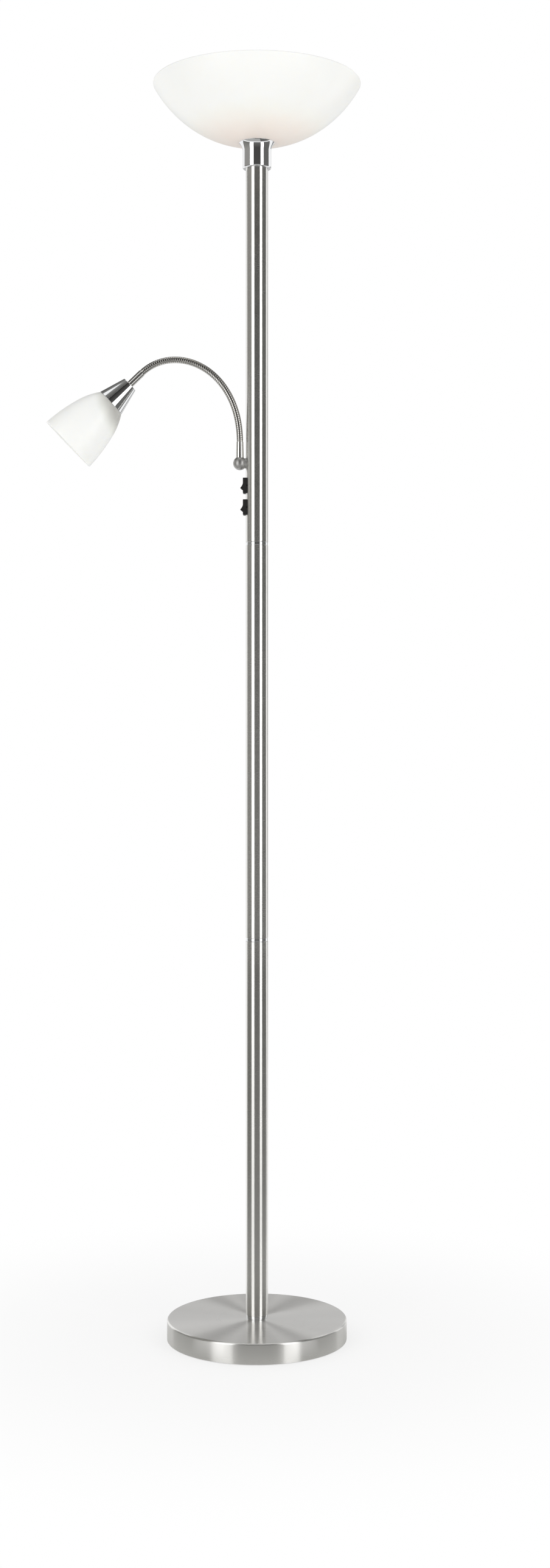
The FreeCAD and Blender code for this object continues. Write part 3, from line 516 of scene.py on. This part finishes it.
# ---- Pole tubes
# Three lengths of thin steel tube with satin nickel plate, their cut ends slightly
# rounded. The upper one has two windows for the switches and a hole for the arm's stud.
TUBE_RADIUS, TUBE_BORE = 16, 14.8
POLE_TOP = 1677
SWITCH_HEIGHTS = {"upper": 1222.8, "lower": 1191.8}
WINDOW_HALF_WIDTH, WINDOW_HALF_HEIGHT = 6.6, 9.9
ARM_HEIGHT = 1255
STUD_HOLE = 4.1
CUT_FROM, CUT_TO = -20, -10
# Brushed satin nickel: mirrored light is sharp round the pole and drawn out along it,
# which gives the pole its upright stripes.
nickel = brushed_metal("brushed_satin_nickel", ("#dddcd9", "#e8e7e4"), 0.25, 0.25, 1)
for node, start, end, name in (
        ("pole_lower", COVER_TOP + RING_HEIGHT, LOWER_SEAM, "lower_pole_tube"),
        ("pole_middle", LOWER_SEAM + RING_HEIGHT, UPPER_SEAM, "middle_pole_tube"),
        ("pole_upper", UPPER_SEAM + RING_HEIGHT, POLE_TOP, "upper_pole_tube")):
    tube = turned(name, eased([
        (TUBE_BORE, start), (TUBE_RADIUS, start), (TUBE_RADIUS, end), (TUBE_BORE, end)], 0.35),
        nickel, 128)
    if node == "pole_upper":
        openings = [(middle, WINDOW_HALF_WIDTH, WINDOW_HALF_HEIGHT)
                    for middle in SWITCH_HEIGHTS.values()]
        for middle, wide, high in openings + [(ARM_HEIGHT, STUD_HOLE, STUD_HOLE)]:
            cut(tube, (CUT_FROM, -wide, middle - high), (CUT_TO, wide, middle + high))
    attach(tube, "root")
    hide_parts(node)

# ---- Collar
# A cup spun from brass sheet, polished and chromed, that widens at the top to take
# the glass bowl. A nut inside clamps it on the pole's top stem.
collar = turned("chrome_collar_cup", eased([
    (ROD_HOLE, 0), (18, 0), *arc((18, 0), (20.5, 2.5), 2.5),
    (20.5, 25.4), *arc((20.5, 25.4), (25.5, 37.4), -16.9, 20),
    (24.3, 37.4), *arc((24.3, 37.4), (19.3, 25.4), 18.1, 20),
    (19.3, 1.2), (ROD_HOLE, 1.2)], 0.25), chrome, 160, POLE_TOP)
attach(collar, "root")
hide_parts("collar_cup")

# ---- Top lampholder and clamping ring
# Moulded white heat-resistant plastic. The glass hangs on the holder's shoulder and
# the ring screws down over it; both show from above, inside the bowl.
HOLDER_FOOT = 1682.2
BOWL_FOOT = 1714.4
white = bpy.data.materials.new("moulded_white_plastic")
tree = fresh_tree(white)
# Flow marks of about 6 mm tint the moulding a little warmer in places.
skin = add(tree, "ShaderNodeBsdfPrincipled", links={
    "Base Color": two_tone(tree, clumps(tree, 6, 3), "#e6e5e0", "#dedcd5")}, Roughness=0.38)
add(tree, "ShaderNodeOutputMaterial", links={"Surface": skin.outputs[0]})
holder = turned("top_lampholder_moulding", eased([
    (5.05, 0), (18.6, 0), (18.6, 32.2), (19.8, 32.2), (19.8, 46),
    (13.8, 46), (13.8, 14), (5.05, 14)], 0.4), white, 112, HOLDER_FOOT)
clamp = turned("top_clamping_ring", eased([
    (19.85, 4), (25, 4), (25, 10), (19.85, 10)], 0.9), white, 112, BOWL_FOOT)
for piece, node in ((holder, "top_lampholder"), (clamp, "bowl_clamp_ring")):
    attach(piece, "root")
    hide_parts(node)

# ---- Glass bowl
# Mouth-blown opal glass: a thin milky layer all through, with a fire-polished rim.
# It rests on the collar and the clamping ring holds it.


def opal_glass(name, body, painted_neck_shade, neck_end, body_start, lean=0):
    """Milky glass that light soaks into, with a painted shade at its neck and its own tint from
    body_start on. With a lean the painted neck shade reaches further on the side of -X."""
    material = bpy.data.materials.new(name)
    tree = fresh_tree(material)
    place = add(tree, "ShaderNodeTexCoord")
    axes = add(tree, "ShaderNodeSeparateXYZ", links={0: place.outputs["Object"]})
    leaning = add(tree, "ShaderNodeMath", {"operation": "MULTIPLY"}, {0: axes.outputs["X"]})
    leaning.inputs[1].default_value = lean
    height = add(tree, "ShaderNodeMath", {"operation": "ADD"},
                 {0: axes.outputs["Z"], 1: leaning.outputs[0]})
    # Painted shade: the neck's colour fades out between neck_end and body_start.
    climb = add(tree, "ShaderNodeMapRange", {"interpolation_type": "SMOOTHSTEP"},
                {"Value": height.outputs[0]},
                From_Min=neck_end * MM, From_Max=body_start * MM)
    # The milk in blown glass lies a little unevenly, in clouds of about 30 mm.
    thin = add(tree, "ShaderNodeMapRange", links={"Value": clumps(tree, 30, 2)},
               From_Min=0.3, From_Max=0.7, To_Min=-0.06, To_Max=0.06)
    share = add(tree, "ShaderNodeMath", {"operation": "ADD", "use_clamp": True},
                {0: climb.outputs[0], 1: thin.outputs[0]})
    milk = add(tree, "ShaderNodeBsdfPrincipled", links={
        "Base Color": two_tone(tree, share.outputs[0], painted_neck_shade, body)},
        Roughness=0.36, Subsurface_Weight=0.6, Subsurface_Scale=4 * MM,
        Subsurface_Radius=(1, 0.95, 0.85), IOR=1.5)
    add(tree, "ShaderNodeOutputMaterial", links={"Surface": milk.outputs[0]})
    return material


# Nearly white, with a faint warm painted shade where the bowl nears the collar.
bowl_glass = opal_glass("blown_opal_glass_bowl", "#f8f9f4", "#f2e7df", 1708, 1752)
bowl = turned("opal_glass_bowl", eased([
    (19.9, 0), (25.5, 0), *arc((25.5, 0), (77.7, 15.6), 170, 20),
    *arc((77.7, 15.6), (149, 83.6), 170, 36),
    *arc((149, 83.6), (147, 85.6), 2, 6), *arc((147, 85.6), (145, 83.6), 2, 6),
    *arc((145, 83.6), (76.1, 19.4), -166, 36),
    *arc((76.1, 19.4), (25.5, 4), -166, 20), (19.9, 4)], 0.4), bowl_glass, 256, BOWL_FOOT)
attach(bowl, "root")
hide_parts("bowl_shade")

# ---- Top bulb
# A frosted globe bulb with a plain cap, sunk in the lampholder. The glass bowl
# hides it from the side.


def frosted_bulb(name, low, high):
    """The material of a bulb: a dull pale cap up to low and a frosted white dome from
    high on, in mm."""
    material = bpy.data.materials.new(name)
    tree = fresh_tree(material)
    place = add(tree, "ShaderNodeTexCoord")
    axes = add(tree, "ShaderNodeSeparateXYZ", links={0: place.outputs["Object"]})
    dome = add(tree, "ShaderNodeMapRange", links={"Value": axes.outputs["Z"]},
               From_Min=low * MM, From_Max=high * MM)
    # The frost is etched unevenly, in specks of about 1 mm.
    frost = two_tone(tree, clumps(tree, 1, 2), "#f1f0ea", "#e8e7e1")
    tone = add(tree, "ShaderNodeMix", {"data_type": "RGBA"}, {0: dome.outputs[0], 7: frost})
    tone.inputs[6].default_value = linear("#cfcfcc")
    glass = add(tree, "ShaderNodeBsdfPrincipled", links={"Base Color": tone.outputs[2]},
                Roughness=0.3)
    add(tree, "ShaderNodeOutputMaterial", links={"Surface": glass.outputs[0]})
    return material


bulb = turned("top_globe_bulb", eased([
    (0, 16), (13.3, 16), (13.3, 47), *arc((13.3, 47), (22.4, 59.2), 28, 12),
    *arc((22.4, 59.2), (28, 76), 28, 12), *arc((28, 76), (0.02, 104), 28, 28),
    (0, 104)], 0.4), frosted_bulb("frosted_top_bulb", 1727, 1731), 112, HOLDER_FOOT)
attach(bulb, "root")
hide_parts("top_bulb")

# ---- Ball joint of the arm
# A turned boss meets the tube with a hollowed end and carries a ball; a ferrule is
# pressed into the ball's flat top. All are solid brass with satin nickel plate.
ARM_REACH = 24.5
BOSS_TURNS = 96
# Each ring of the boss, its x and its radius, from its rounded end to the tube's wall,
# where its x follows the wall.
BOSS_RINGS = ((-17.8, 6.95), (-17.75, 7.14), (-17.6, 7.29), (-17.4, 7.35), (None, 7.35))
BALL_RADIUS = 9.7
BALL_FLAT = 7.8
BALL_FLAT_RADIUS = 5.766
BALL_TO_BOSS = 6.7
FERRULE_TOP = 30.9


def joined(count, rings, start=0):
    """The faces between rings of count points each, with a cap at both ends."""
    faces = [(start + i * count + k, start + i * count + (k + 1) % count,
              start + (i + 1) * count + (k + 1) % count, start + (i + 1) * count + k)
             for i in range(rings - 1) for k in range(count)]
    last = start + (rings - 1) * count
    return faces + [tuple(range(start, start + count))[::-1], tuple(range(last, last + count))]


# The boss and ball are dull and scarcely drawn, so each takes a broad soft light; the
# ferrules are finer and mirror the room in narrow upright lines.
satin = brushed_metal("turned_satin_nickel", ("#b0afad", "#bbbab8"), 0.44, 0.2, 0.3)
fine = brushed_metal("fine_turned_nickel", ("#d3d2cf", "#dddcd9"), 0.16, 0.2, 0.8)
boss_points = []
for x, radius in BOSS_RINGS:
    for k in range(BOSS_TURNS):
        angle = 2 * math.pi * k / BOSS_TURNS
        y, z = radius * math.cos(angle), radius * math.sin(angle)
        reach = -math.sqrt(TUBE_RADIUS ** 2 - y ** 2) if x is None else x
        boss_points.append((reach * MM, y * MM, (ARM_HEIGHT + z) * MM))
boss = new_piece("turned_boss", boss_points, joined(BOSS_TURNS, len(BOSS_RINGS)), satin)
ball = turned("ball_of_the_arm", eased([
    (0, -BALL_RADIUS), *arc((0.02, -BALL_RADIUS), (BALL_RADIUS, 0), BALL_RADIUS, 24),
    *arc((BALL_RADIUS, 0), (BALL_FLAT_RADIUS, BALL_FLAT), BALL_RADIUS, 14),
    (0, BALL_FLAT)], 0.3), satin, 112)
# The ball is faced flat where it meets the boss.
shape = bmesh.new()
shape.from_mesh(ball.data)
trimmed = bmesh.ops.bisect_plane(
    shape, geom=[*shape.verts, *shape.edges, *shape.faces],
    plane_co=(BALL_TO_BOSS * MM, 0, 0), plane_no=(1, 0, 0), clear_outer=True)
bmesh.ops.edgeloop_fill(shape, edges=[
    part for part in trimmed["geom_cut"] if isinstance(part, bmesh.types.BMEdge)])
shape.to_mesh(ball.data)
ball.data.set_sharp_from_angle(angle=EDGE_ANGLE)
ferrule = turned("lower_ferrule", eased([
    (0, BALL_FLAT), (5.7, BALL_FLAT), (5.1, FERRULE_TOP), (4.4, FERRULE_TOP), (4.4, 21.9),
    (0, 21.9)], 0.35), fine, 96)
ball.location = ferrule.location = (-ARM_REACH * MM, 0, ARM_HEIGHT * MM)
for piece, node in ((boss, "arm_boss"), (ball, "arm_ball"), (ferrule, "arm_ferrule")):
    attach(piece, "root")
    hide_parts(node)

# ---- Gooseneck
# A flexible tube wound from steel strip, satin nickel plated, whose ribs run round it as a fine
# screw.
NECK_LENGTH = 219
NECK_BEND = math.radians(134)
# The bend is this share gentler than its mean at the foot and tighter at the head.
NECK_TIGHTENING = 0.5
NECK_SEGMENTS = 8
NECK_TAIL = 8
NECK_SIDES = 28
RIBS_PER_SEGMENT = 9
STEPS_PER_RIB = 8
RIB_PITCH = NECK_LENGTH / NECK_SEGMENTS / RIBS_PER_SEGMENT
RIB_CREST = 4.65
RIB_DEPTH = 0.32
GROOVE_START = 0.35
BLEND_REACH = 0.48


def neck_place(along):
    """Point (x, z) in mm and heading on the resting curve, that far from its foot."""
    x, z, heading = -ARM_REACH, ARM_HEIGHT + FERRULE_TOP, 0.0
    step = NECK_LENGTH / NECK_SEGMENTS
    if along < 0:
        return x, z + along, heading
    for k in range(NECK_SEGMENTS):
        share = (k + 0.5) / NECK_SEGMENTS * 2 - 1
        bend = NECK_BEND / NECK_SEGMENTS * (1 + NECK_TIGHTENING * share) / step
        part = min(along, step)
        turn = bend * part
        right, up = (math.cos(turn) - 1) / bend, math.sin(turn) / bend
        x, z = (x + right * math.cos(heading) - up * math.sin(heading),
                z + right * math.sin(heading) + up * math.cos(heading))
        heading += turn
        along -= part
        if along <= 0:
            break
    return x - math.sin(heading) * along, z + math.cos(heading) * along, heading


# Strip steel with satin nickel: each rib takes a small soft light, and the grooves between the
# ribs are darkened with painted shade.
neck_metal = bpy.data.materials.new("wound_strip_satin_nickel")
tree = fresh_tree(neck_metal)
worn = clumps(tree, 2, 4)
spread = add(tree, "ShaderNodeMapRange", links={"Value": worn},
             From_Min=0.3, From_Max=0.7, To_Min=0.14, To_Max=0.22)
depth = add(tree, "ShaderNodeAttribute", {"attribute_name": "groove"})
# Painted shade: the colour goes to a dark grey where the groove attribute is high.
painted_groove_shade = add(tree, "ShaderNodeMix", {"data_type": "RGBA"}, {
    0: depth.outputs["Fac"], 6: two_tone(tree, worn, "#bdbbb7", "#c8c6c2")})
painted_groove_shade.inputs[7].default_value = linear("#5a5854")
strip = add(tree, "ShaderNodeBsdfPrincipled", links={
    "Base Color": painted_groove_shade.outputs[2], "Roughness": spread.outputs[0]}, Metallic=1)
add(tree, "ShaderNodeOutputMaterial", links={"Surface": strip.outputs[0]})

# Rings of points along the whole neck, with a plain tail at each end that sits in its
# ferrule. The ribs' screw turns once round the neck in each pitch.
ring_step = RIB_PITCH / STEPS_PER_RIB
segment_rings = RIBS_PER_SEGMENT * STEPS_PER_RIB
tail_rings = round(NECK_TAIL / ring_step)
body_rings = NECK_SEGMENTS * segment_rings
neck_points = []
neck_grooves = []
for i in range(-tail_rings, body_rings + tail_rings + 1):
    along = i * ring_step
    x, z, heading = neck_place(along)
    ribbed = min(max(min(along, NECK_LENGTH - along) / RIB_PITCH, 0), 1)
    for k in range(NECK_SIDES):
        angle = 2 * math.pi * k / NECK_SIDES
        # A rounded crest over most of each pitch, with a narrow groove between.
        phase = abs((along / RIB_PITCH - k / NECK_SIDES) % 1 - 0.5)
        groove = max(0, (phase - GROOVE_START) / (0.5 - GROOVE_START))
        radius = RIB_CREST - RIB_DEPTH * (1 - (1 - groove ** 2) * ribbed)
        neck_grooves.append(groove * ribbed)
        out = radius * math.cos(angle)
        neck_points.append(Vector((x + out * math.cos(heading), radius * math.sin(angle),
                                   z + out * math.sin(heading))) * MM)


def neck_mesh(name, first, last):
    """The stretch of the neck from one ring to another, closed at both ends."""
    part = slice(first * NECK_SIDES, (last + 1) * NECK_SIDES)
    piece = new_piece(name, neck_points[part], joined(NECK_SIDES, last - first + 1), neck_metal)
    depth = piece.data.attributes.new("groove", "FLOAT", "POINT")
    depth.data.foreach_set("value", neck_grooves[part])
    return piece


for k in range(1, NECK_SEGMENTS):
    first = 0 if k == 1 else tail_rings + round((k - 0.5) * segment_rings)
    last = (body_rings + 2 * tail_rings if k == NECK_SEGMENTS - 1
            else tail_rings + round((k + 0.5) * segment_rings))
    stretch = neck_mesh("gooseneck_stretch_%d" % k, first, last)
    # The places a little before and after each hinge are found, but nothing uses them.
    for share in (-BLEND_REACH, BLEND_REACH):
        x, z, _ = neck_place((k + share) * NECK_LENGTH / NECK_SEGMENTS)
    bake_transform(stretch)
    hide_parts("gooseneck_%d" % k, "gooseneck_%d" % (k + 1))

# ---- Head ferrule and cup
# The upper ferrule grips the neck's end; on it sits a cone spun from sheet, polished
# and chromed, that covers the lampholder.
head_x, head_z, head_heading = neck_place(NECK_LENGTH)
HEAD_FRAME = (Matrix.Translation((head_x * MM, 0, head_z * MM))
              @ Matrix.Rotation(-head_heading, 4, "Y"))


def on_head(piece, node):
    """Sets a piece that was turned about Z on the head's own axis."""
    piece.matrix_world = HEAD_FRAME
    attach(piece, "head")
    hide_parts(node)


on_head(turned("upper_ferrule", eased([
    (4.4, 0), (5.1, 0), (5.1, 24.1), (4.05, 24.1), (4.05, 9), (4.4, 9)], 0.3), fine, 96),
    "head_ferrule")
on_head(turned("chrome_cone_cup", eased([
    (4.1, 24.1), (10.7, 24.1), *arc((10.7, 24.1), (11.7, 25.1), 1, 6),
    (21.9, 62.4), (20.7, 62.4), (10.5, 25.3), (4.1, 25.3)], 0.3), chrome, 128),
    "head_cup")

# ---- Head lampholder and clamping ring
# The same white moulding as the top one, but smaller. They show from below, inside
# the glass bell.
on_head(turned("head_lampholder_moulding", eased([
    (4.05, 29.3), (7.5, 29.3), (13.8, 40), (13.8, 76), (9, 76), (9, 43.3),
    (4.05, 43.3)], 0.4), white, 96), "head_lampholder")
on_head(turned("head_clamping_ring", eased([
    (13.85, 65.4), (18, 65.4), (18, 70.4), (13.85, 70.4)], 0.9), white, 96),
    "head_clamp_ring")

# ---- Glass bell
# Blown opal glass with a rounded shoulder and a widening side. Its neck sits in the
# open end of the cone cup.
# Nearly white, with a grey painted shade next to the cup, most on the side towards the pole.
bell_glass = opal_glass("blown_opal_glass_bell", "#f8f9f4", "#bbbab5", 58, 86, lean=0.4)
on_head(turned("opal_glass_bell", eased([
    (13.9, 62.4), (21.7, 62.4), (22.9, 64.2), *arc((22.9, 64.2), (35.3, 92.3), 101, 16),
    *arc((35.3, 92.3), (44, 146.4), 266, 24),
    *arc((44, 146.4), (42.5, 147.9), 1.5, 6), *arc((42.5, 147.9), (41, 146.4), 1.5, 6),
    *arc((41, 146.4), (32.39, 93.08), -263, 24),
    *arc((32.39, 93.08), (21.7, 65.4), -98, 16), (13.9, 65.4)], 0.3), bell_glass, 192),
    "reading_shade")

# ---- Head bulb
# A small frosted globe bulb on the head's axis, inside the bell.
on_head(turned("head_globe_bulb", eased([
    (0, 45.3), (6.9, 45.3), (6.9, 70), (8.5, 72), (8.5, 77),
    *arc((8.5, 77), (16, 79.3), 20, 8), *arc((16, 79.3), (20, 91.3), 20, 10),
    *arc((20, 91.3), (0.02, 111.3), 20, 24), (0, 111.3)], 0.3),
    frosted_bulb("frosted_head_bulb", 76, 78), 96), "head_bulb")

# ---- Rocker switches
# Moulded black housings snapped into the tube, each with a rocker that tips on two
# pins. Three brass contact tabs stand out of the back of each housing.
black = bpy.data.materials.new("moulded_black_plastic")
tree = fresh_tree(black)
# A fine spark-eroded grain of about 0.4 mm dulls the moulding's shine.
grain = clumps(tree, 0.4, 3)
relief = add(tree, "ShaderNodeBump", links={"Height": grain}, Strength=0.3, Distance=0.03 * MM)
skin = add(tree, "ShaderNodeBsdfPrincipled", links={
    "Base Color": two_tone(tree, grain, "#1c1c1c", "#242424"),
    "Normal": relief.outputs["Normal"]}, Roughness=0.5, Specular_IOR_Level=0.3)
add(tree, "ShaderNodeOutputMaterial", links={"Surface": skin.outputs[0]})

brass = bpy.data.materials.new("stamped_brass")
tree = fresh_tree(brass)
# Tarnish in patches of about 3 mm browns the bright strip.
strip = add(tree, "ShaderNodeBsdfPrincipled", links={
    "Base Color": two_tone(tree, clumps(tree, 3, 3), "#d9b869", "#b8924a")},
    Metallic=1, Roughness=0.3)
add(tree, "ShaderNodeOutputMaterial", links={"Surface": strip.outputs[0]})
dress("switch_tabs", brass)

# Each housing keeps its snapped-in shape with its edges slightly rounded. The
# rocker has a hollow face between two ridges and swings on its pins.
HOUSING_ROUNDING = 0.25
ROCKER_PIVOT = -13.9
ROCKER_TILT = math.radians(18)
# Slices of the rocker from side to side, each with its y and the share of its full
# outline that it has.
ROCKER_SLICES = ((-5, 0.955), (-4.88, 0.982), (-4.55, 1), (4.55, 1), (4.88, 0.982), (5, 0.955))
ROCKER_OUTLINE = eased([
    (-8.6, 6.15), *arc((-8.6, 6.15), (-8.6, -6.15), -13, 12),
    (-3.9, -8), (1, -8), (5, -5), (5, 5), (1, 8), (-3.9, 8)], 0.5)
PIN_TURNS = 24
# Rings of a pin, from inside the rocker to its chamfered end: distance and radius.
PIN_RINGS = ((4.5, 1.2), (6, 1.2), (6.2, 0.96))
for word, middle in SWITCH_HEIGHTS.items():
    housing = "switch_%s_housing" % word
    dress(housing, black)
    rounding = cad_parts[housing].modifiers.new("rounded_edges", "BEVEL")
    rounding.width = HOUSING_ROUNDING * MM
    rounding.segments = 2
    rounding.angle_limit = math.radians(30)
    points = [(x * share * MM, y * MM, z * share * MM)
              for y, share in ROCKER_SLICES for x, z in ROCKER_OUTLINE]
    faces = joined(len(ROCKER_OUTLINE), len(ROCKER_SLICES))
    for side in (-1, 1):
        faces += joined(PIN_TURNS, len(PIN_RINGS), len(points))
        for y, radius in PIN_RINGS:
            for k in range(PIN_TURNS):
                angle = -side * 2 * math.pi * k / PIN_TURNS
                points.append((radius * MM * math.cos(angle), side * y * MM,
                               radius * MM * math.sin(angle)))
    rocker = new_piece("%s_rocker_moulding" % word, points, faces, black)
    rocker.matrix_world = (Matrix.Translation((ROCKER_PIVOT * MM, 0, middle * MM))
                           @ Matrix.Rotation(ROCKER_TILT, 4, "Y"))
    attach(rocker, "rocker_%s" % word)
    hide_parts("switch_%s_rocker" % word)
